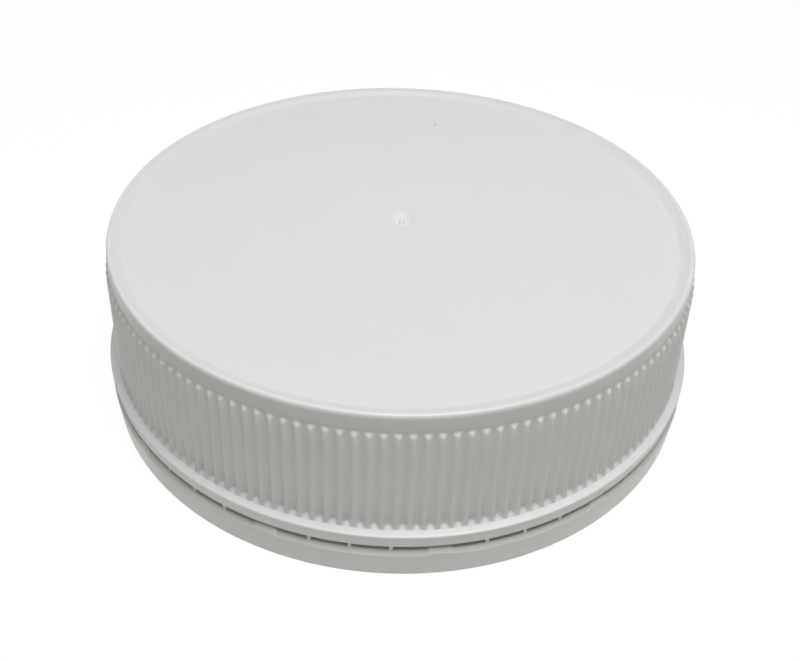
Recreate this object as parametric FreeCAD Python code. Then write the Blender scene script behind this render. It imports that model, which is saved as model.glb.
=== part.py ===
"""Wide-mouth screw cap with a tamper-evident band, moulded in one shot as one piece.

The cap stands on the foot of its band. The origin is the middle of that foot, +Z points
towards the panel and -Y is the front. From the top down it has a flat panel inside a raised
rim, a smooth collar, a ribbed skirt, a flange, a slit crossed by thin bridges, and the band
that stays on the neck when the bridges break.
"""
import FreeCAD, Part
import math
import os

from FreeCAD import Vector

# Driving dimensions, in millimetres and degrees
flange_diameter = 120.0
cap_height = 35.4
band_height = 6.4
slit_height = 0.9
flange_height = 3.1

# Panel, raised rim and gate mark
panel_thickness = 1.8
rim_rise = 1.0
rim_outer_round = 0.9
rim_outer_facets = 2
rim_inner_round = 0.6
rim_inner_facets = 1
rim_slope_width = 1.3
gate_dimple_diameter = 5.5
gate_dimple_depth = 0.4
gate_nub_diameter = 1.1
gate_nub_height = 0.35

# Ribbed skirt
rib_count = 154
rib_depth = 1.26
rib_top_depth = 0.45
rib_shoulder_width = 0.76
rib_shoulder_share = 0.86
rib_valley_fill = 0.08
rib_end_height = 0.55
collar_height = 3.6
ledge_width = 1.53
skirt_taper = 0.3
first_rib_angle = 0.65

# Flange
flange_taper = 0.25
flange_edge_chamfer = 0.25

# Inside of the skirt
skirt_wall = 2.21
thread_depth = 1.0
thread_pitch = 6.0
thread_turns = 1.5
thread_crest_width = 1.3
thread_flank_angle = 35.0
thread_start_above_flange = 5.0

# Plug seal under the panel
plug_gap = 4.0
plug_wall = 1.4
plug_length = 5.0
plug_lead_in = 0.7

# Tamper-evident band
band_wall = 1.6
band_taper = 0.35
band_chamfer = 0.7
band_entry_chamfer = 0.6
sector_count = 12
first_block_angle = 8.1
block_rise = 0.45
block_arc = 7.4
block_end_slant = 0.9
bridges_per_sector = 3
bridge_spacing = 6.9
bridge_width = 0.7
bridge_depth = 0.9
bridge_setback = 0.65
hook_reach = 1.5
hook_arc = 20.0
hook_top = 4.9
hook_land = 0.8

# How far pieces reach into each other before they are joined
overlap = 0.3

# Levels and radii that follow from the driving dimensions
flange_radius = flange_diameter / 2
flange_base = band_height + slit_height
ledge_level = flange_base + flange_height
panel_level = cap_height - rim_rise
panel_underside = panel_level - panel_thickness
rib_valley_foot = flange_radius - ledge_width - rib_depth
rib_end_level = cap_height - collar_height
bore_radius = rib_valley_foot - skirt_wall
thread_crest_radius = bore_radius - thread_depth
plug_radius = bore_radius - plug_gap
band_inner_radius = flange_radius - band_taper - band_wall
sector_angle = 360.0 / sector_count
rib_angle = 360.0 / rib_count
axis_point = Vector(0, 0, 0)
axis_direction = Vector(0, 0, 1)


def valley_radius(level):
    """Radius of the rib valleys, which narrow evenly from the ledge up to the rim."""
    return rib_valley_foot - (level - ledge_level) * math.tan(math.radians(skirt_taper))


def skirt_radius(level):
    """Radius of the smooth skirt, just inside the rib valleys."""
    return valley_radius(level) - rib_valley_fill


def faceted_round(centre, radius, start, end, facets):
    """Points on a (radius, level) arc, with angles measured from the outward direction."""
    points = []
    for i in range(facets + 1):
        turn = math.radians(start + (end - start) * i / facets)
        points.append((centre[0] + radius * math.cos(turn), centre[1] + radius * math.sin(turn)))
    return points


def turned(outline, arc=360.0):
    """Solid turned about the axis from a closed outline of (radius, level) points."""
    points = [Vector(radius, 0, level) for radius, level in outline]
    face = Part.Face(Part.makePolygon(points + points[:1]))
    return face.revolve(axis_point, axis_direction, arc)


def around(shape, angle):
    """Copy turned about the axis, by an angle measured from the front towards +X."""
    copy = shape.copy()
    copy.rotate(axis_point, axis_direction, angle)
    return copy


def rim_outline():
    """Outline of the rim from the top of the collar inwards to the edge of the panel."""
    outer_level = cap_height - rim_outer_round
    inner_level = cap_height - rim_inner_round
    crest = skirt_radius(outer_level) - rim_outer_round
    outer = faceted_round((crest, outer_level), rim_outer_round, 0, 90, rim_outer_facets)
    inner = faceted_round((crest, inner_level), rim_inner_round, 90, 180, rim_inner_facets)
    panel_edge = crest - rim_inner_round - rim_slope_width
    return outer + inner[1:] + [(panel_edge, panel_level)]


def shell():
    """Panel, rim, skirt, flange and plug seal, without the ribs and the thread."""
    low_radius = flange_radius - flange_taper
    plug_inner = plug_radius - plug_wall
    plug_tip = panel_underside - plug_length
    return turned(
        [
            (bore_radius, flange_base),
            (low_radius - flange_edge_chamfer, flange_base),
            (low_radius, flange_base + flange_edge_chamfer),
            (flange_radius, ledge_level - flange_edge_chamfer),
            (flange_radius - flange_edge_chamfer, ledge_level),
            (skirt_radius(ledge_level), ledge_level),
        ]
        + rim_outline()
        + [
            (0, panel_level),
            (0, panel_underside),
            (plug_inner, panel_underside),
            (plug_inner, plug_tip),
            (plug_radius - plug_lead_in, plug_tip),
            (plug_radius, plug_tip + plug_lead_in),
            (plug_radius, panel_underside),
            (bore_radius, panel_underside),
        ]
    )


def rib_point(turn, share, level):
    """Point of a rib at an angle from the front, a share of the depth and a level."""
    height = (level - ledge_level) / (rib_end_level - ledge_level)
    depth = rib_depth + (rib_top_depth - rib_depth) * height
    radius = valley_radius(level) + share * depth
    turn = math.radians(turn)
    return Vector(radius * math.sin(turn), -radius * math.cos(turn), level)


def flat_face(points):
    return Part.Face(Part.makePolygon(points + points[:1]))


def ribs():
    """Ring of ribs that are deep at the ledge, shallow at the top and sloped at their upper ends."""
    shoulder_angle = math.degrees(rib_shoulder_width / 2 / rib_valley_foot)
    foot_level = ledge_level - overlap
    high_level = rib_end_level - rib_end_height
    faces = []
    foot = []
    top = []
    for rib in range(rib_count):
        middle = first_rib_angle + rib * rib_angle
        crest_foot = rib_point(middle, 1, foot_level)
        crest_high = rib_point(middle, 1, high_level)
        crest_end = rib_point(middle, 0, rib_end_level)
        for side in (-1, 1):
            valley = middle + side * rib_angle / 2
            shoulder = middle + side * shoulder_angle
            valley_foot = rib_point(valley, 0, foot_level)
            valley_end = rib_point(valley, 0, rib_end_level)
            shoulder_foot = rib_point(shoulder, rib_shoulder_share, foot_level)
            shoulder_high = rib_point(shoulder, rib_shoulder_share, high_level)
            faces += [
                flat_face([valley_foot, shoulder_foot, shoulder_high]),
                flat_face([valley_foot, shoulder_high, valley_end]),
                flat_face([shoulder_foot, crest_foot, crest_high]),
                flat_face([shoulder_foot, crest_high, shoulder_high]),
                flat_face([shoulder_high, crest_high, crest_end]),
                flat_face([shoulder_high, crest_end, valley_end]),
            ]
            if side == -1:
                foot += [valley_foot, shoulder_foot, crest_foot]
                top += [valley_end, crest_end]
            else:
                foot.append(shoulder_foot)
    faces += [flat_face(foot), flat_face(top)]
    ring = Part.Solid(Part.makeShell(faces))
    return ring.cut(Part.makeCylinder(bore_radius + overlap, cap_height))


def thread():
    """Single-start thread in the bore, with its crest cut to a true cylinder."""
    flank = thread_depth * math.tan(math.radians(thread_flank_angle))
    extra = flank * overlap / thread_depth
    half_crest = thread_crest_width / 2
    corners = [
        Vector(bore_radius + overlap, 0, -half_crest - flank - extra),
        Vector(bore_radius + overlap, 0, half_crest + flank + extra),
        Vector(thread_crest_radius - overlap, 0, half_crest - extra),
        Vector(thread_crest_radius - overlap, 0, extra - half_crest),
    ]
    section = Part.makePolygon(corners + corners[:1])
    path = Part.makeHelix(thread_pitch, thread_pitch * thread_turns, bore_radius)
    coil = Part.Wire(path).makePipeShell([section], True, True)
    coil.translate(Vector(0, 0, flange_base + thread_start_above_flange))
    return coil.cut(Part.makeCylinder(thread_crest_radius, cap_height))


def block_wedges():
    """Upright wedges over the band's blocks, narrower towards the outside."""
    inner = band_inner_radius - overlap
    outer = flange_radius + overlap
    inner_half = block_arc / 2
    outer_half = inner_half - block_end_slant
    sides = [(inner, -inner_half), (outer, -outer_half), (outer, outer_half), (inner, inner_half)]
    corners = [
        Vector(radius * math.sin(math.radians(turn)), -radius * math.cos(math.radians(turn)), 0)
        for radius, turn in sides
    ]
    wedge = Part.Face(Part.makePolygon(corners + corners[:1])).extrude(axis_direction * cap_height)
    return [around(wedge, first_block_angle + i * sector_angle) for i in range(sector_count)]


def band():
    """Break-away band with a chamfered top edge that steps up at each block."""
    top = band_height + block_rise
    edge_level = band_height - band_chamfer
    chamfer_end = flange_radius - band_chamfer
    ring = turned(
        [
            (band_inner_radius, band_entry_chamfer),
            (band_inner_radius + band_entry_chamfer, 0),
            (flange_radius - band_taper, 0),
            (flange_radius, edge_level),
            (flange_radius, top - band_chamfer),
            (chamfer_end, top),
            (band_inner_radius, top),
        ]
    )
    gaps = turned(
        [
            (band_inner_radius - overlap, band_height),
            (chamfer_end, band_height),
            (flange_radius + overlap, edge_level - overlap),
            (flange_radius + overlap, top + overlap),
            (band_inner_radius - overlap, top + overlap),
        ]
    )
    return ring.cut(gaps.cut(block_wedges()))


def hooks():
    """Inward hooks on the band that catch under the neck's ring, flat above and sloped below."""
    tip = band_inner_radius - hook_reach
    root = band_inner_radius + overlap
    land_level = hook_top - hook_land
    hook = turned(
        [
            (root, land_level - hook_reach - overlap),
            (tip, land_level),
            (tip, hook_top),
            (root, hook_top),
        ],
        hook_arc,
    )
    start = first_block_angle - 90 - hook_arc / 2
    return [around(hook, start + i * sector_angle) for i in range(sector_count)]


def bridges():
    """Thin posts across the slit, in groups midway between the blocks."""
    post = Part.makeBox(
        bridge_width,
        bridge_depth,
        slit_height + 2 * overlap,
        Vector(-bridge_width / 2, bridge_setback - flange_radius, band_height - overlap),
    )
    posts = []
    for i in range(sector_count):
        middle = first_block_angle + (i + 0.5) * sector_angle
        for j in range(bridges_per_sector):
            offset = (j - (bridges_per_sector - 1) / 2) * bridge_spacing
            posts.append(around(post, middle + offset))
    return posts


def gate_dimple():
    """Ball that leaves a shallow round dimple in the middle of the panel."""
    half = gate_dimple_diameter / 2
    radius = (half**2 + gate_dimple_depth**2) / (2 * gate_dimple_depth)
    return Part.makeSphere(radius, Vector(0, 0, panel_level - gate_dimple_depth + radius))


def gate_nub():
    """Stub of the gate that stands in the dimple."""
    foot = panel_level - gate_dimple_depth - overlap
    return Part.makeCylinder(gate_nub_diameter / 2, gate_nub_height + overlap, Vector(0, 0, foot))


def cap():
    """The whole moulding as one solid."""
    body = shell().fuse(ribs())
    body = body.cut(gate_dimple())
    return body.fuse([gate_nub(), thread(), band()] + hooks() + bridges())


def main():
    os.makedirs("parts", exist_ok=True)
    solid = cap()
    solid.exportStep("parts/cap.step")
    print("valid", solid.isValid(), "solids", len(solid.Solids), "faces", len(solid.Faces))
    print("volume", round(solid.Volume, 1))


main()
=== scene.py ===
"""Studio scene of a white wide-mouth screw cap with a tamper-evident band."""
import math

import bmesh
import bpy
from bpy.props import (
    FloatProperty,
    FloatVectorProperty,
    IntProperty,
    PointerProperty,
)
from mathutils import Matrix, Vector


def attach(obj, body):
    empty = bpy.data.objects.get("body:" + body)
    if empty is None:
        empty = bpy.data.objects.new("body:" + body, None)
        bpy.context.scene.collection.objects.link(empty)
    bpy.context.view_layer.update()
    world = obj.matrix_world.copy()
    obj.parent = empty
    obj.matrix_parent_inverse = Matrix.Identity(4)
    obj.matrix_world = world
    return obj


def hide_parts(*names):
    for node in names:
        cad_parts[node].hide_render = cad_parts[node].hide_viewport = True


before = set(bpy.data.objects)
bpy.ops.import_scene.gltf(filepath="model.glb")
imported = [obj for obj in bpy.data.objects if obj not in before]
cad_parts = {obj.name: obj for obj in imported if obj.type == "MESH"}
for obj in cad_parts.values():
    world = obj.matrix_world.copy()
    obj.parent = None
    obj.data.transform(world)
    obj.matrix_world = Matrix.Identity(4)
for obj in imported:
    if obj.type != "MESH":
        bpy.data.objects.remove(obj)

bl_info = {
    "name": "Tamper-evident cap",
    "version": (1, 0, 0),
    "blender": (4, 5, 0),
    "location": "3D View > Sidebar > Cap",
    "description": "Builds a ribbed screw cap with its break-away band and a white studio",
    "category": "Object",
}

MM = 0.001
MERGE_DISTANCE = 0.002 * MM
SMALL_ROUNDING = 0.12 * MM
WIDE_ROUNDING = 0.4 * MM
OVERLAP = 0.3 * MM
RIB_COLUMNS = 10
RAMP_ROWS = 3
TIP_ROWS = 4
SHAFT_ROWS = (0.07, 0.16, 0.35, 0.7, 0.88)
END_POWER = 9
BLOCK_STEPS = 8
HOOK_STEPS = 16
THREAD_STEPS = 120
AXIS = Vector((0, 0, 1))
ORIGIN = Vector((0, 0, 0))
CAD_NODE = "cap"
BODY = "root"
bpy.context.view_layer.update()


def length(name, description, millimetres):
    """A length setting, kept in metres."""
    return FloatProperty(
        name=name, description=description, default=millimetres * MM, unit="LENGTH", precision=5
    )


def turn(name, description, degrees):
    """An angle setting, kept in radians."""
    return FloatProperty(
        name=name, description=description, default=math.radians(degrees), unit="ROTATION"
    )


def share(name, description, value, high=1.0):
    """A plain number from 0 up to a limit."""
    return FloatProperty(name=name, description=description, default=value, min=0.0, max=high)


def colour(name, description, value):
    return FloatVectorProperty(
        name=name, description=description, default=value, size=4, subtype="COLOR", min=0.0, max=1.0
    )


class CapShellSettings(bpy.types.PropertyGroup):
    """Sizes of the panel, rim, skirt, flange and plug seal."""

    flange_radius: length("Flange radius", "Outer radius of the flange", 60.0)
    flange_base: length("Flange base", "Level of the flange's underside", 7.0)
    flange_height: length("Flange height", "Height of the flange", 3.15)
    flange_taper: length("Flange taper", "How much the flange narrows downwards", 0.5)
    flange_round: length("Flange edge", "Rounding of the flange's edges", 0.42)
    cap_height: length("Cap height", "Height of the rim above the foot", 35.4)
    valley_foot: length("Valley radius", "Radius of the rib valleys at the ledge", 57.12)
    skirt_taper: turn("Skirt taper", "Angle at which the ribbed skirt narrows upwards", 0.265)
    collar_taper: turn("Collar taper", "Angle at which the collar narrows upwards", 0.3)
    collar_height: length("Collar height", "Height of the smooth collar above the ribs", 3.6)
    collar_inset: length("Collar inset", "Depth of the collar below the rib valleys", 0.01)
    core_inset: length("Core inset", "Depth of the hidden wall behind the ribs", 0.4)
    rim_rise: length("Rim rise", "Height of the rim above the panel", 1.0)
    rim_outer_round: length("Rim outer rounding", "Rounding of the rim's outer edge", 0.9)
    rim_bead: length("Rim bead", "Width of the bead inside the rim's crest", 0.6)
    rim_bead_rise: length("Rim bead rise", "Height of the bead above the slope's top", 0.22)
    rim_slope_width: length("Rim slope", "Width of the slope from the rim to the panel", 1.3)
    panel_thickness: length("Panel thickness", "Thickness of the panel", 1.8)
    bore_radius: length("Bore radius", "Radius of the thread's root", 55.0)
    plug_radius: length("Plug radius", "Outer radius of the plug seal", 51.0)
    plug_wall: length("Plug wall", "Wall of the plug seal", 1.4)
    plug_length: length("Plug length", "Length of the plug seal", 5.0)
    plug_lead_in: length("Plug lead-in", "Chamfer at the plug seal's tip", 0.7)
    dimple_radius: length("Dimple radius", "Radius of the gate dimple", 2.75)
    dimple_depth: length("Dimple depth", "Depth of the gate dimple", 0.85)
    nub_radius: length("Nub radius", "Radius of the gate's stub", 0.5)
    nub_height: length("Nub height", "Height of the gate's stub above the dimple", 0.6)
    steps: IntProperty(name="Steps", description="Steps round the axis", default=462, min=24)


class CapRibSettings(bpy.types.PropertyGroup):
    """Sizes of the grip ribs."""

    count: IntProperty(name="Count", description="Number of ribs", default=154, min=3)
    first: turn("First rib", "Angle of the first rib from the front", 0.65)
    depth: length("Depth", "Depth of a rib at the ledge", 1.23)
    top_depth: length("Top depth", "Depth of a rib at its upper end", 0.62)
    shaft_depth: length("Shaft depth", "Depth of a rib between its ends", 0.5)
    ramp_height: length("Ramp height", "Height of the ramp at the foot of each valley", 0.65)
    end_height: length("End height", "Height of the rounded tip at a rib's upper end", 0.9)
    foot_share: share("Foot width", "Width of a rib at the ledge as a share of the pitch", 0.98)
    top_share: share("Top width", "Width of a rib at its upper end as a share of the pitch", 0.7)
    crest_power: share("Crest sharpness", "Above 1 the crests are narrower than the valleys", 1.15, 3.0)
    top_power: share("Top sharpness", "Sharpness of the crests at their upper end", 0.6, 3.0)
    root: length("Root", "How far the ribs reach below the ledge", 0.3)


class CapBandSettings(bpy.types.PropertyGroup):
    """Sizes of the tamper-evident band, its blocks, bridges and hooks."""

    height: length("Height", "Height of the band between the blocks", 6.1)
    inner_radius: length("Inner radius", "Radius of the band's inside", 58.05)
    taper: length("Taper", "How much the band narrows towards its foot", 0.35)
    chamfer: length("Chamfer", "Chamfer of the band's upper edge", 0.85)
    entry: length("Entry chamfer", "Chamfer inside the band's foot", 0.6)
    edge_round: length("Edge rounding", "Rounding of the band's edges", 0.15)
    block_rise: length("Block rise", "Height of the blocks above the band", 0.45)
    block_arc: turn("Block arc", "Arc of a block at its inside", 7.4)
    block_slant: turn("Block slant", "How much each block end draws in outwards", 0.9)
    block_ramp: turn("Block ramp", "How much each block end draws in upwards", 1.3)
    first_block: turn("First block", "Angle of the first block from the front", 8.1)
    sectors: IntProperty(name="Sectors", description="Number of blocks", default=12, min=2)
    bridge_count: IntProperty(name="Bridges", description="Bridges between blocks", default=3, min=1)
    bridge_spacing: turn("Bridge spacing", "Angle between bridges", 6.9)
    bridge_width: length("Bridge width", "Width of a bridge", 0.7)
    bridge_depth: length("Bridge depth", "Radial depth of a bridge", 0.9)
    bridge_setback: length("Bridge setback", "Distance from the flange's edge to a bridge", 0.65)
    slit: length("Slit", "Height of the slit over the band", 0.9)
    hook_reach: length("Hook reach", "How far a hook stands inwards", 1.5)
    hook_arc: turn("Hook arc", "Arc of a hook", 20.0)
    hook_top: length("Hook top", "Level of a hook's flat top", 4.9)
    hook_land: length("Hook land", "Height of a hook's inner face", 0.8)


class CapThreadSettings(bpy.types.PropertyGroup):
    """Sizes of the thread in the bore."""

    root_radius: length("Root radius", "Radius of the thread's root", 55.0)
    depth: length("Depth", "Height of the thread's profile", 1.0)
    pitch: length("Pitch", "Rise of one turn", 6.0)
    turns: share("Turns", "Number of turns", 1.5, 4.0)
    crest: length("Crest", "Width of the thread's crest", 1.3)
    flank: turn("Flank", "Angle of the thread's flanks", 35.0)
    start: length("Start", "Level at which the thread starts", 12.3)


class CapPlasticSettings(bpy.types.PropertyGroup):
    """Look of the moulded plastic."""

    white: colour("White", "Colour of the plastic", (0.76, 0.762, 0.768, 1.0))
    warm: colour("Warm white", "Slightly warmer tone in broad patches", (0.755, 0.752, 0.738, 1.0))
    speck: colour("Speck", "Colour of the dark specks", (0.32, 0.31, 0.29, 1.0))
    roughness: share("Roughness", "Roughness of the satin surface", 0.32)
    glow: share("Glow", "Weight of the light inside the plastic", 0.25)
    glow_depth: length("Glow depth", "How far light spreads in the plastic", 0.8)
    grain: length("Grain", "Size of the fine moulded grain", 0.35)


class CapStudioSettings(bpy.types.PropertyGroup):
    """Camera, floor and lamps."""

    lens: share("Lens", "Focal length in millimetres on a 36 mm sensor", 45.14, 200.0)
    distance: length("Distance", "Distance of the camera", 220.7)
    tilt: turn("Tilt", "Elevation of the camera", 39.198)
    roll: turn("Roll", "Roll of the camera", 1.847)
    aim_right: length("Aim right", "How far the view's middle lies left of the foot", 0.495)
    aim_up: length("Aim up", "How far the view's middle lies above the foot", 4.65)
    key_power: share("Key power", "Power of the large lamp above", 2.09, 100.0)
    key_width: length("Key width", "Width of the large lamp", 270)
    key_depth: length("Key depth", "Depth of the large lamp", 180)
    key_height: length("Key height", "Height of the large lamp", 480)
    key_front: length("Key front", "How far the large lamp stands towards the front", 96)
    key_right: length("Key right", "How far the large lamp stands to the right", 32)
    fill: share("Fill", "Strength of the even light all round", 0.02, 5.0)
    floor: colour("Floor", "Colour of the floor", (0.85, 0.84, 0.765, 1.0))
    floor_shadow: share("Floor shadow", "How much of the shadow the floor shows", 0.12)
    floor_glow: share("Floor glow", "Strength of the floor's own white", 1.06, 2.0)


def settings(context):
    return context.scene.cap_scene


def valley_radius(shell, level):
    """Radius of a line from the foot of the rib valleys at the ledge up to the collar."""
    ledge = shell.flange_base + shell.flange_height
    return shell.valley_foot - (level - ledge) * math.tan(shell.skirt_taper)


def between(start, end, part):
    """Value that goes evenly from the start to the end."""
    return start + (end - start) * part


def eased(part):
    """Value that goes softly from 1 to 0 while the part goes from 0 to 1."""
    return 0.5 + 0.5 * math.cos(math.pi * part)


def rib_radius(size, shell, across, level):
    """Radius of a rib's surface at a level, where across is 0 on the crest and 1 in the valley."""
    ledge = shell.flange_base + shell.flange_height
    high = shell.cap_height - shell.collar_height - size.end_height
    up = max(0.0, min(1.0, (level - ledge) / (high - ledge)))
    tip = max(0.0, (level - high) / size.end_height)
    ramp = max(0.0, 1 - (level - ledge) / size.ramp_height)
    width = between(size.foot_share, size.top_share, up)
    sharpness = between(size.crest_power, size.top_power, up)
    crest = valley_radius(shell, level) + between(size.depth, size.top_depth, up)
    depth = size.shaft_depth + (size.depth - size.shaft_depth) * (1 - up) ** END_POWER
    depth += (size.top_depth - size.shaft_depth) * up ** END_POWER
    bulge = max(0.0, eased(min(1.0, across / width))) ** sharpness
    return crest - depth * (1 - between(bulge, 1.0, ramp) * eased(tip))


def turned_about_axis(bm, geometry, steps, angle=math.tau, rise=0.0):
    """Spin of a profile about the cap's axis, closed if it goes all the way round."""
    result = bmesh.ops.spin(
        bm,
        geom=geometry,
        cent=ORIGIN,
        axis=AXIS,
        dvec=AXIS * (rise / steps),
        angle=angle,
        steps=steps,
        use_merge=angle == math.tau and not rise,
        use_duplicate=False,
    )
    return result["geom_last"]


def profile(bm, corners, closed=True):
    """Wire in the XZ plane through (radius, level, rounding) corners, each rounded as it says."""
    verts = [bm.verts.new((radius, 0, level)) for radius, level, _ in corners]
    count = len(verts) if closed else len(verts) - 1
    for i in range(count):
        bm.edges.new((verts[i], verts[(i + 1) % len(verts)]))
    for rounding in sorted({corner[2] for corner in corners if corner[2]}):
        rounded = [vert for vert, corner in zip(verts, corners) if corner[2] == rounding]
        bmesh.ops.bevel(
            bm,
            geom=rounded,
            offset=rounding,
            offset_type="OFFSET",
            segments=6 if rounding > WIDE_ROUNDING else 3,
            profile=0.5,
            affect="VERTICES",
            material=-1,
        )
    return bm.verts[:] + bm.edges[:]


def repeated(bm, count, angle):
    """Copies of everything in the mesh round the axis."""
    bmesh.ops.spin(
        bm,
        geom=bm.verts[:] + bm.edges[:] + bm.faces[:],
        cent=ORIGIN,
        axis=AXIS,
        dvec=ORIGIN,
        angle=angle * (count - 1),
        steps=count - 1,
        use_merge=False,
        use_duplicate=True,
    )


def turned_to(bm, angle):
    """The whole mesh turned from the +X side to an angle measured from the front."""
    bmesh.ops.rotate(
        bm, verts=bm.verts[:], cent=ORIGIN, matrix=Matrix.Rotation(angle - math.pi / 2, 3, "Z")
    )


def finished(bm, name, material, sharp=math.radians(32)):
    """Object from the mesh, smooth but for its sharp edges, riding on the cap's body."""
    bmesh.ops.remove_doubles(bm, verts=bm.verts[:], dist=MERGE_DISTANCE)
    bmesh.ops.recalc_face_normals(bm, faces=bm.faces[:])
    for face in bm.faces:
        face.smooth = True
    for edge in bm.edges:
        edge.smooth = len(edge.link_faces) == 2 and edge.calc_face_angle() < sharp
    mesh = bpy.data.meshes.new(name)
    bm.to_mesh(mesh)
    bm.free()
    piece = bpy.data.objects.new(name, mesh)
    bpy.context.scene.collection.objects.link(piece)
    piece.data.materials.append(material)
    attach(piece, BODY)
    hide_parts(CAD_NODE)
    return piece


def grain_group(name="Moulded grain"):
    """Group that gives broad tone patches and the height of a fine moulded grain."""
    if name in bpy.data.node_groups:
        return bpy.data.node_groups[name]
    group = bpy.data.node_groups.new(name, "ShaderNodeTree")
    group.interface.new_socket("Grain scale", in_out="INPUT", socket_type="NodeSocketFloat")
    group.interface.new_socket("Patch scale", in_out="INPUT", socket_type="NodeSocketFloat")
    group.interface.new_socket("Patches", in_out="OUTPUT", socket_type="NodeSocketFloat")
    group.interface.new_socket("Height", in_out="OUTPUT", socket_type="NodeSocketFloat")
    nodes, links = group.nodes, group.links
    start = nodes.new("NodeGroupInput")
    end = nodes.new("NodeGroupOutput")
    place = nodes.new("ShaderNodeTexCoord")
    fine = nodes.new("ShaderNodeTexNoise")
    fine.inputs["Detail"].default_value = 3.0
    broad = nodes.new("ShaderNodeTexNoise")
    broad.inputs["Detail"].default_value = 1.5
    for node, scale in ((fine, "Grain scale"), (broad, "Patch scale")):
        links.new(place.outputs["Object"], node.inputs["Vector"])
        links.new(start.outputs[scale], node.inputs["Scale"])
    links.new(broad.outputs["Fac"], end.inputs["Patches"])
    links.new(fine.outputs["Fac"], end.inputs["Height"])
    return group


def speck_group(name="Speck"):
    """Group that gives a soft mask round one point, stretched by its half sizes."""
    if name in bpy.data.node_groups:
        return bpy.data.node_groups[name]
    group = bpy.data.node_groups.new(name, "ShaderNodeTree")
    group.interface.new_socket("Centre", in_out="INPUT", socket_type="NodeSocketVector")
    group.interface.new_socket("Half size", in_out="INPUT", socket_type="NodeSocketVector")
    group.interface.new_socket("Mask", in_out="OUTPUT", socket_type="NodeSocketFloat")
    nodes, links = group.nodes, group.links
    start = nodes.new("NodeGroupInput")
    end = nodes.new("NodeGroupOutput")
    place = nodes.new("ShaderNodeTexCoord")
    offset = nodes.new("ShaderNodeVectorMath")
    offset.operation = "SUBTRACT"
    scaled = nodes.new("ShaderNodeVectorMath")
    scaled.operation = "DIVIDE"
    far = nodes.new("ShaderNodeVectorMath")
    far.operation = "LENGTH"
    soft = nodes.new("ShaderNodeMapRange")
    soft.interpolation_type = "SMOOTHSTEP"
    soft.inputs["From Min"].default_value = 1.0
    soft.inputs["From Max"].default_value = 0.4
    links.new(place.outputs["Object"], offset.inputs[0])
    links.new(start.outputs["Centre"], offset.inputs[1])
    links.new(offset.outputs["Vector"], scaled.inputs[0])
    links.new(start.outputs["Half size"], scaled.inputs[1])
    links.new(scaled.outputs["Vector"], far.inputs[0])
    links.new(far.outputs["Value"], soft.inputs["Value"])
    links.new(soft.outputs["Result"], end.inputs["Mask"])
    return group


def moulded_plastic(name, look, marks=()):
    """Satin white plastic with broad tone patches, fine grain and its few marks."""
    if name in bpy.data.materials:
        return bpy.data.materials[name]
    material = bpy.data.materials.new(name)
    material.use_nodes = True
    nodes, links = material.node_tree.nodes, material.node_tree.links
    shader = nodes["Principled BSDF"]
    shader.inputs["IOR"].default_value = 1.49
    shader.inputs["Subsurface Weight"].default_value = look.glow
    shader.inputs["Subsurface Scale"].default_value = look.glow_depth
    shader.inputs["Subsurface Radius"].default_value = (1.0, 0.9, 0.75)
    grain = nodes.new("ShaderNodeGroup")
    grain.node_tree = grain_group()
    grain.inputs["Grain scale"].default_value = 1.0 / look.grain
    grain.inputs["Patch scale"].default_value = 1.0 / (60.0 * look.grain)
    tone = nodes.new("ShaderNodeMix")
    tone.data_type = "RGBA"
    tone.inputs["A"].default_value = look.white
    tone.inputs["B"].default_value = look.warm
    links.new(grain.outputs["Patches"], tone.inputs["Factor"])
    last = tone.outputs["Result"]
    for centre, half_size, strength in marks:
        mark = nodes.new("ShaderNodeGroup")
        mark.node_tree = speck_group()
        mark.inputs["Centre"].default_value = centre
        mark.inputs["Half size"].default_value = half_size
        weaker = nodes.new("ShaderNodeMath")
        weaker.operation = "MULTIPLY"
        weaker.inputs[1].default_value = strength
        links.new(mark.outputs["Mask"], weaker.inputs[0])
        mixed = nodes.new("ShaderNodeMix")
        mixed.data_type = "RGBA"
        mixed.inputs["B"].default_value = look.speck
        links.new(weaker.outputs["Value"], mixed.inputs["Factor"])
        links.new(last, mixed.inputs["A"])
        last = mixed.outputs["Result"]
    links.new(last, shader.inputs["Base Color"])
    gloss = nodes.new("ShaderNodeMapRange")
    gloss.inputs["To Min"].default_value = look.roughness - 0.05
    gloss.inputs["To Max"].default_value = look.roughness + 0.05
    links.new(grain.outputs["Patches"], gloss.inputs["Value"])
    links.new(gloss.outputs["Result"], shader.inputs["Roughness"])
    bump = nodes.new("ShaderNodeBump")
    bump.inputs["Strength"].default_value = 0.12
    bump.inputs["Distance"].default_value = 0.02 * MM
    links.new(grain.outputs["Height"], bump.inputs["Height"])
    links.new(bump.outputs["Normal"], shader.inputs["Normal"])
    return material


def seen_directly(nodes, links, path):
    """Socket that is 1 where the camera, a reflection or a view through glass meets the surface."""
    last = path.outputs["Is Camera Ray"]
    for ray in ("Is Glossy Ray", "Is Transmission Ray"):
        either = nodes.new("ShaderNodeMath")
        either.operation = "MAXIMUM"
        links.new(last, either.inputs[0])
        links.new(path.outputs[ray], either.inputs[1])
        last = either.outputs["Value"]
    return last


def beyond_radius(nodes, links, radius):
    """Socket that is 1 farther from the object's middle than the radius, and 0 inside it."""
    place = nodes.new("ShaderNodeTexCoord")
    from_middle = nodes.new("ShaderNodeVectorMath")
    from_middle.operation = "LENGTH"
    beyond = nodes.new("ShaderNodeMath")
    beyond.operation = "GREATER_THAN"
    beyond.inputs[1].default_value = radius
    links.new(place.outputs["Object"], from_middle.inputs[0])
    links.new(from_middle.outputs["Value"], beyond.inputs[0])
    return beyond.outputs["Value"]


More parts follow.
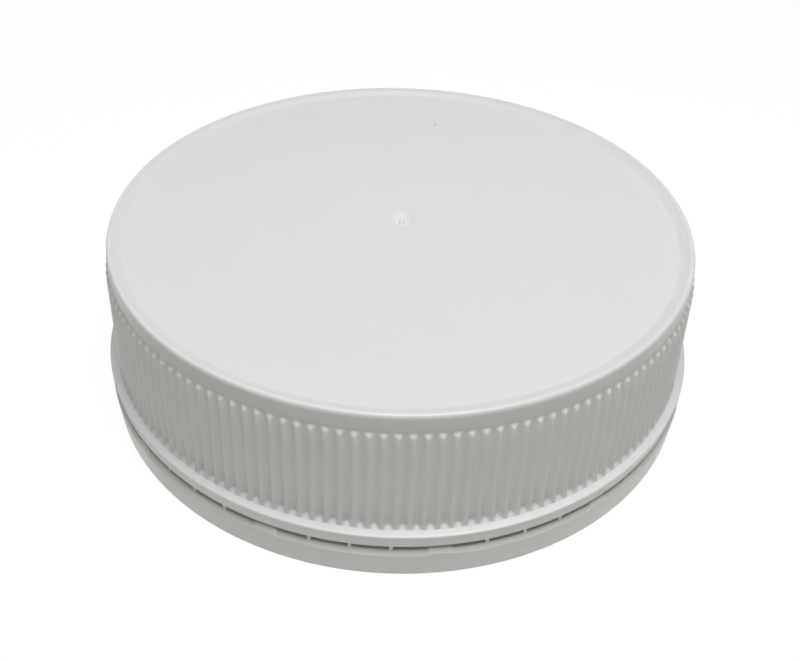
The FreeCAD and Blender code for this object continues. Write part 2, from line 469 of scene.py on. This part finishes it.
def outer_plastic(context):
    """The plastic of the outside, with its specks, a dark dash on the ledge and a scratch."""
    marks = [
        (Vector(centre) * MM, Vector(half_size) * MM, strength)
        for centre, half_size, strength in (
            ((6.85, 40.16, 34.4), (0.4, 0.4, 0.3), 0.8),
            ((5.9, 36.3, 34.4), (0.35, 0.35, 0.3), 0.25),
            ((54.6, -4.0, 34.5), (0.3, 0.22, 0.4), 0.7),
            ((20.9, -54.85, 10.4), (0.45, 0.2, 0.3), 0.7),
            ((-30.7, -51.6, 4.85), (1.2, 0.7, 0.14), 0.5),
        )
    ]
    return moulded_plastic("Satin white plastic", settings(context).plastic, marks)


def inner_plastic(context):
    return moulded_plastic("Inner white plastic", settings(context).plastic)


class CAP_OT_shell(bpy.types.Operator):
    """Build the panel, rim, skirt, flange and plug seal"""

    bl_idname = "cap.shell"
    bl_label = "Cap shell"

    def execute(self, context):
        size = settings(context).shell
        ledge = size.flange_base + size.flange_height
        low_radius = size.flange_radius - size.flange_taper
        panel = size.cap_height - size.rim_rise
        underside = panel - size.panel_thickness
        collar_level = size.cap_height - size.collar_height
        collar_foot = valley_radius(size, collar_level) - size.collar_inset
        collar_top = collar_foot - size.collar_height * math.tan(size.collar_taper)
        core_top = valley_radius(size, collar_level) - size.core_inset
        core_foot = valley_radius(size, ledge) - size.core_inset
        crest = collar_top - size.rim_outer_round
        slope_top = crest - size.rim_bead
        panel_edge = slope_top - size.rim_slope_width
        plug_tip = underside - size.plug_length
        plug_inner = size.plug_radius - size.plug_wall
        dimple = panel - size.dimple_depth
        nub_foot = 1.3 * size.nub_radius
        bowl_middle = 0.5 * size.dimple_radius
        bowl_rise = 0.1 * size.dimple_depth
        small = SMALL_ROUNDING
        corners = [
            (0, dimple + size.nub_height, 0),
            (size.nub_radius, dimple + size.nub_height, small),
            (nub_foot, dimple, small),
            (bowl_middle, dimple + bowl_rise, 0),
            (size.dimple_radius, panel, small),
            (panel_edge, panel, 3 * small),
            (slope_top, size.cap_height - size.rim_bead_rise, 3 * small),
            (crest, size.cap_height, 3 * small),
            (collar_top, size.cap_height, size.rim_outer_round),
            (collar_foot, collar_level, 0),
            (core_top, collar_level, 0),
            (core_foot, ledge, 0),
            (size.flange_radius, ledge, size.flange_round),
            (low_radius, size.flange_base, size.flange_round),
            (size.bore_radius, size.flange_base, 2 * small),
            (size.bore_radius, underside, 2 * small),
            (size.plug_radius, underside, 2 * small),
            (size.plug_radius, plug_tip + size.plug_lead_in, small),
            (size.plug_radius - size.plug_lead_in, plug_tip, small),
            (plug_inner, plug_tip, small),
            (plug_inner, underside, 2 * small),
            (0, underside, 0),
        ]
        bm = bmesh.new()
        turned_about_axis(bm, profile(bm, corners, closed=False), size.steps)
        finished(bm, "cap_shell", outer_plastic(context))
        return {"FINISHED"}


class CAP_OT_ribs(bpy.types.Operator):
    """Build the grip ribs round the skirt"""

    bl_idname = "cap.ribs"
    bl_label = "Grip ribs"

    def execute(self, context):
        size = settings(context).ribs
        shell = settings(context).shell
        ledge = shell.flange_base + shell.flange_height
        end = shell.cap_height - shell.collar_height
        high = end - size.end_height
        pitch = math.tau / size.count
        levels = [ledge - size.root]
        levels += [ledge + size.ramp_height * i / RAMP_ROWS for i in range(RAMP_ROWS + 1)]
        levels += [between(ledge, high, part) for part in SHAFT_ROWS]
        levels += [high + size.end_height * i / TIP_ROWS for i in range(TIP_ROWS + 1)]
        rows = len(levels) - 1
        bm = bmesh.new()
        bmesh.ops.create_grid(bm, x_segments=RIB_COLUMNS, y_segments=rows, size=1.0)
        for vert in bm.verts:
            level = levels[round((vert.co.y + 1) / 2 * rows)]
            radius = rib_radius(size, shell, abs(vert.co.x), level)
            vert.co = Matrix.Rotation(vert.co.x * pitch / 2, 3, "Z") @ Vector((radius, 0, level))
        repeated(bm, size.count, pitch)
        turned_to(bm, size.first)
        finished(bm, "cap_ribs", outer_plastic(context), sharp=math.radians(85))
        return {"FINISHED"}


class CAP_OT_band(bpy.types.Operator):
    """Build the tamper-evident band with its blocks"""

    bl_idname = "cap.band"
    bl_label = "Tamper-evident band"

    def execute(self, context):
        size = settings(context).band
        shell = settings(context).shell
        low_radius = shell.flange_radius - size.taper
        chamfer_end = shell.flange_radius - size.chamfer
        edge = size.height - size.chamfer
        small = size.edge_round
        bm = bmesh.new()
        corners = [
            (size.inner_radius, size.entry, small),
            (size.inner_radius + size.entry, 0, 0),
            (low_radius, 0, small),
            (shell.flange_radius, edge, small),
            (chamfer_end, size.height, small),
            (size.inner_radius, size.height, small),
        ]
        turned_about_axis(bm, profile(bm, corners), shell.steps)
        finished(bm, "cap_band", outer_plastic(context))

        rise = size.block_rise
        sink = 0.1 * MM
        bm = bmesh.new()
        corners = [
            (size.inner_radius, size.height - sink, 0),
            (chamfer_end, size.height - sink, 0),
            (shell.flange_radius, edge - sink, 0),
            (shell.flange_radius, edge + rise, small),
            (chamfer_end, size.height + rise, small),
            (size.inner_radius, size.height + rise, small),
        ]
        wire = profile(bm, corners)
        edges = [item for item in wire if isinstance(item, bmesh.types.BMEdge)]
        bmesh.ops.contextual_create(bm, geom=edges)
        turned_about_axis(bm, bm.verts[:] + bm.edges[:] + bm.faces[:], BLOCK_STEPS, size.block_arc)
        bmesh.ops.rotate(bm, verts=bm.verts[:], cent=ORIGIN,
                         matrix=Matrix.Rotation(-size.block_arc / 2, 3, "Z"))
        reach = shell.flange_radius - size.inner_radius
        for vert in bm.verts:
            radius = math.hypot(vert.co.x, vert.co.y)
            angle = math.atan2(vert.co.y, vert.co.x)
            surface = min(size.height, edge + shell.flange_radius - radius)
            drawn_in = size.block_slant * (radius - size.inner_radius) / reach
            if vert.co.z > surface + rise / 2:
                drawn_in += size.block_ramp
            narrow = 1 - drawn_in / (size.block_arc / 2)
            vert.co.x = radius * math.cos(angle * narrow)
            vert.co.y = radius * math.sin(angle * narrow)
        turned_to(bm, size.first_block)
        repeated(bm, size.sectors, math.tau / size.sectors)
        finished(bm, "cap_band_blocks", outer_plastic(context))
        return {"FINISHED"}


class CAP_OT_bridges(bpy.types.Operator):
    """Build the thin bridges across the slit"""

    bl_idname = "cap.bridges"
    bl_label = "Bridges"

    def execute(self, context):
        size = settings(context).band
        shell = settings(context).shell
        sector = math.tau / size.sectors
        middle = shell.flange_radius - size.bridge_setback - size.bridge_depth / 2
        bm = bmesh.new()
        for i in range(size.bridge_count):
            offset = (i - (size.bridge_count - 1) / 2) * size.bridge_spacing
            cube = bmesh.ops.create_cube(bm, size=1.0)["verts"]
            bmesh.ops.scale(bm, verts=cube,
                            vec=(size.bridge_depth, size.bridge_width, size.slit + 0.6 * MM))
            bmesh.ops.translate(bm, verts=cube, vec=(middle, 0, size.height + size.slit / 2))
            bmesh.ops.rotate(bm, verts=cube, cent=ORIGIN, matrix=Matrix.Rotation(offset, 3, "Z"))
        upright = [
            edge for edge in bm.edges
            if abs(edge.verts[0].co.z - edge.verts[1].co.z) > size.slit / 2
        ]
        bmesh.ops.bevel(bm, geom=upright, offset=0.18 * MM, offset_type="OFFSET", segments=2,
                        profile=0.5, affect="EDGES", material=-1)
        turned_to(bm, size.first_block + sector / 2)
        repeated(bm, size.sectors, sector)
        finished(bm, "cap_bridges", outer_plastic(context))
        return {"FINISHED"}


class CAP_OT_hooks(bpy.types.Operator):
    """Build the hooks inside the band"""

    bl_idname = "cap.hooks"
    bl_label = "Band hooks"

    def execute(self, context):
        size = settings(context).band
        tip = size.inner_radius - size.hook_reach
        root = size.inner_radius + OVERLAP
        land = size.hook_top - size.hook_land
        bm = bmesh.new()
        corners = [
            (root, land - size.hook_reach - OVERLAP, 0),
            (tip, land, 0.15 * MM),
            (tip, size.hook_top, 0.15 * MM),
            (root, size.hook_top, 0),
        ]
        wire = profile(bm, corners)
        edges = [item for item in wire if isinstance(item, bmesh.types.BMEdge)]
        bmesh.ops.contextual_create(bm, geom=edges)
        turned_about_axis(bm, bm.verts[:] + bm.edges[:] + bm.faces[:], HOOK_STEPS, size.hook_arc)
        turned_to(bm, size.first_block - size.hook_arc / 2)
        repeated(bm, size.sectors, math.tau / size.sectors)
        finished(bm, "cap_hooks", inner_plastic(context))
        return {"FINISHED"}


class CAP_OT_thread(bpy.types.Operator):
    """Build the thread in the bore"""

    bl_idname = "cap.thread"
    bl_label = "Thread"

    def execute(self, context):
        size = settings(context).thread
        flank = size.depth * math.tan(size.flank)
        half = size.crest / 2
        crest_round = 0.2 * MM
        bm = bmesh.new()
        corners = [
            (size.root_radius + OVERLAP, size.start - half - flank, 0),
            (size.root_radius - size.depth, size.start - half, crest_round),
            (size.root_radius - size.depth, size.start + half, crest_round),
            (size.root_radius + OVERLAP, size.start + half + flank, 0),
        ]
        wire = profile(bm, corners)
        edges = [item for item in wire if isinstance(item, bmesh.types.BMEdge)]
        bmesh.ops.contextual_create(bm, geom=edges)
        steps = int(THREAD_STEPS * size.turns)
        turned_about_axis(bm, bm.verts[:] + bm.edges[:] + bm.faces[:], steps,
                          math.tau * size.turns, size.pitch * size.turns)
        finished(bm, "cap_thread", inner_plastic(context))
        return {"FINISHED"}


class CAP_OT_studio(bpy.types.Operator):
    """Set the camera, the floor, the even light and the lamps"""

    bl_idname = "cap.studio"
    bl_label = "Studio"

    def execute(self, context):
        studio = settings(context).studio
        self.camera(context, studio)
        self.floor(context, studio)
        self.world(context, studio)
        self.lamps(context, studio)
        context.scene.view_settings.view_transform = "Standard"
        return {"FINISHED"}

    def camera(self, context, studio):
        data = bpy.data.cameras.new("camera")
        data.lens = studio.lens
        data.sensor_width = 36.0
        data.clip_start = 0.01
        data.clip_end = 10.0
        camera = bpy.data.objects.new("camera", data)
        context.scene.collection.objects.link(camera)
        ahead = Vector((0, math.cos(studio.tilt), -math.sin(studio.tilt)))
        upright = Vector((0, math.sin(studio.tilt), math.cos(studio.tilt)))
        side = Vector((1, 0, 0))
        right = math.cos(studio.roll) * side + math.sin(studio.roll) * upright
        up = -math.sin(studio.roll) * side + math.cos(studio.roll) * upright
        place = right * studio.aim_right + up * studio.aim_up - ahead * studio.distance
        camera.matrix_world = Matrix.Translation(place) @ Matrix(
            (right, up, -ahead)
        ).transposed().to_4x4()
        context.scene.camera = camera

    def floor(self, context, studio):
        bm = bmesh.new()
        bmesh.ops.create_grid(bm, x_segments=1, y_segments=1, size=3.0)
        mesh = bpy.data.meshes.new("floor")
        bm.to_mesh(mesh)
        bm.free()
        floor = bpy.data.objects.new("floor", mesh)
        context.scene.collection.objects.link(floor)
        material = bpy.data.materials.new("Pale floor")
        material.use_nodes = True
        nodes, links = material.node_tree.nodes, material.node_tree.links
        shader = nodes["Principled BSDF"]
        shader.inputs["Base Color"].default_value = studio.floor
        shader.inputs["Roughness"].default_value = 0.9
        white = nodes.new("ShaderNodeEmission")
        white.inputs["Strength"].default_value = studio.floor_glow
        mixed = nodes.new("ShaderNodeMixShader")
        path = nodes.new("ShaderNodeLightPath")
        shown = nodes.new("ShaderNodeMath")
        shown.operation = "MULTIPLY"
        shown.inputs[1].default_value = 1.0 - studio.floor_shadow
        links.new(seen_directly(nodes, links, path), shown.inputs[0])
        shown_outside = nodes.new("ShaderNodeMath")
        shown_outside.operation = "MULTIPLY"
        links.new(shown.outputs["Value"], shown_outside.inputs[0])
        foot_inside = settings(context).band.inner_radius
        links.new(beyond_radius(nodes, links, foot_inside), shown_outside.inputs[1])
        links.new(shown_outside.outputs["Value"], mixed.inputs["Fac"])
        links.new(shader.outputs["BSDF"], mixed.inputs[1])
        links.new(white.outputs["Emission"], mixed.inputs[2])
        links.new(mixed.outputs["Shader"], nodes["Material Output"].inputs["Surface"])
        mesh.materials.append(material)

    def world(self, context, studio):
        world = bpy.data.worlds.new("white room")
        world.use_nodes = True
        nodes, links = world.node_tree.nodes, world.node_tree.links
        light = nodes["Background"]
        light.inputs["Color"].default_value = (1.0, 1.0, 1.0, 1.0)
        path = nodes.new("ShaderNodeLightPath")
        strength = nodes.new("ShaderNodeMapRange")
        strength.inputs["To Min"].default_value = studio.fill
        strength.inputs["To Max"].default_value = 1.0
        links.new(seen_directly(nodes, links, path), strength.inputs["Value"])
        links.new(strength.outputs["Result"], light.inputs["Strength"])
        context.scene.world = world

    def lamps(self, context, studio):
        data = bpy.data.lights.new("key", "AREA")
        data.shape = "RECTANGLE"
        data.size = studio.key_width
        data.size_y = studio.key_depth
        data.energy = studio.key_power
        lamp = bpy.data.objects.new("key", data)
        context.scene.collection.objects.link(lamp)
        place = Vector((studio.key_right, -studio.key_front, studio.key_height))
        lamp.location = place
        lamp.rotation_mode = "QUATERNION"
        lamp.rotation_quaternion = (-place).to_track_quat("-Z", "Y")


class CapSceneSettings(bpy.types.PropertyGroup):
    """All settings of the cap and its studio."""

    shell: PointerProperty(type=CapShellSettings)
    ribs: PointerProperty(type=CapRibSettings)
    band: PointerProperty(type=CapBandSettings)
    thread: PointerProperty(type=CapThreadSettings)
    plastic: PointerProperty(type=CapPlasticSettings)
    studio: PointerProperty(type=CapStudioSettings)


class CAP_PT_panel(bpy.types.Panel):
    """The cap's builders in the sidebar"""

    bl_idname = "CAP_PT_panel"
    bl_label = "Tamper-evident cap"
    bl_space_type = "VIEW_3D"
    bl_region_type = "UI"
    bl_category = "Cap"

    def draw(self, context):
        for operator in OPERATORS:
            self.layout.operator(operator.bl_idname)


OPERATORS = (
    CAP_OT_shell,
    CAP_OT_ribs,
    CAP_OT_band,
    CAP_OT_bridges,
    CAP_OT_hooks,
    CAP_OT_thread,
    CAP_OT_studio,
)

CLASSES = (
    CapShellSettings,
    CapRibSettings,
    CapBandSettings,
    CapThreadSettings,
    CapPlasticSettings,
    CapStudioSettings,
    CapSceneSettings,
    *OPERATORS,
    CAP_PT_panel,
)


def register():
    for cls in CLASSES:
        bpy.utils.register_class(cls)
    bpy.types.Scene.cap_scene = PointerProperty(type=CapSceneSettings)


def unregister():
    del bpy.types.Scene.cap_scene
    for cls in reversed(CLASSES):
        bpy.utils.unregister_class(cls)


def main():
    register()
    bpy.ops.cap.shell()
    bpy.ops.cap.ribs()
    bpy.ops.cap.band()
    bpy.ops.cap.bridges()
    bpy.ops.cap.hooks()
    bpy.ops.cap.thread()
    bpy.ops.cap.studio()


if __name__ == "__main__":
    main()
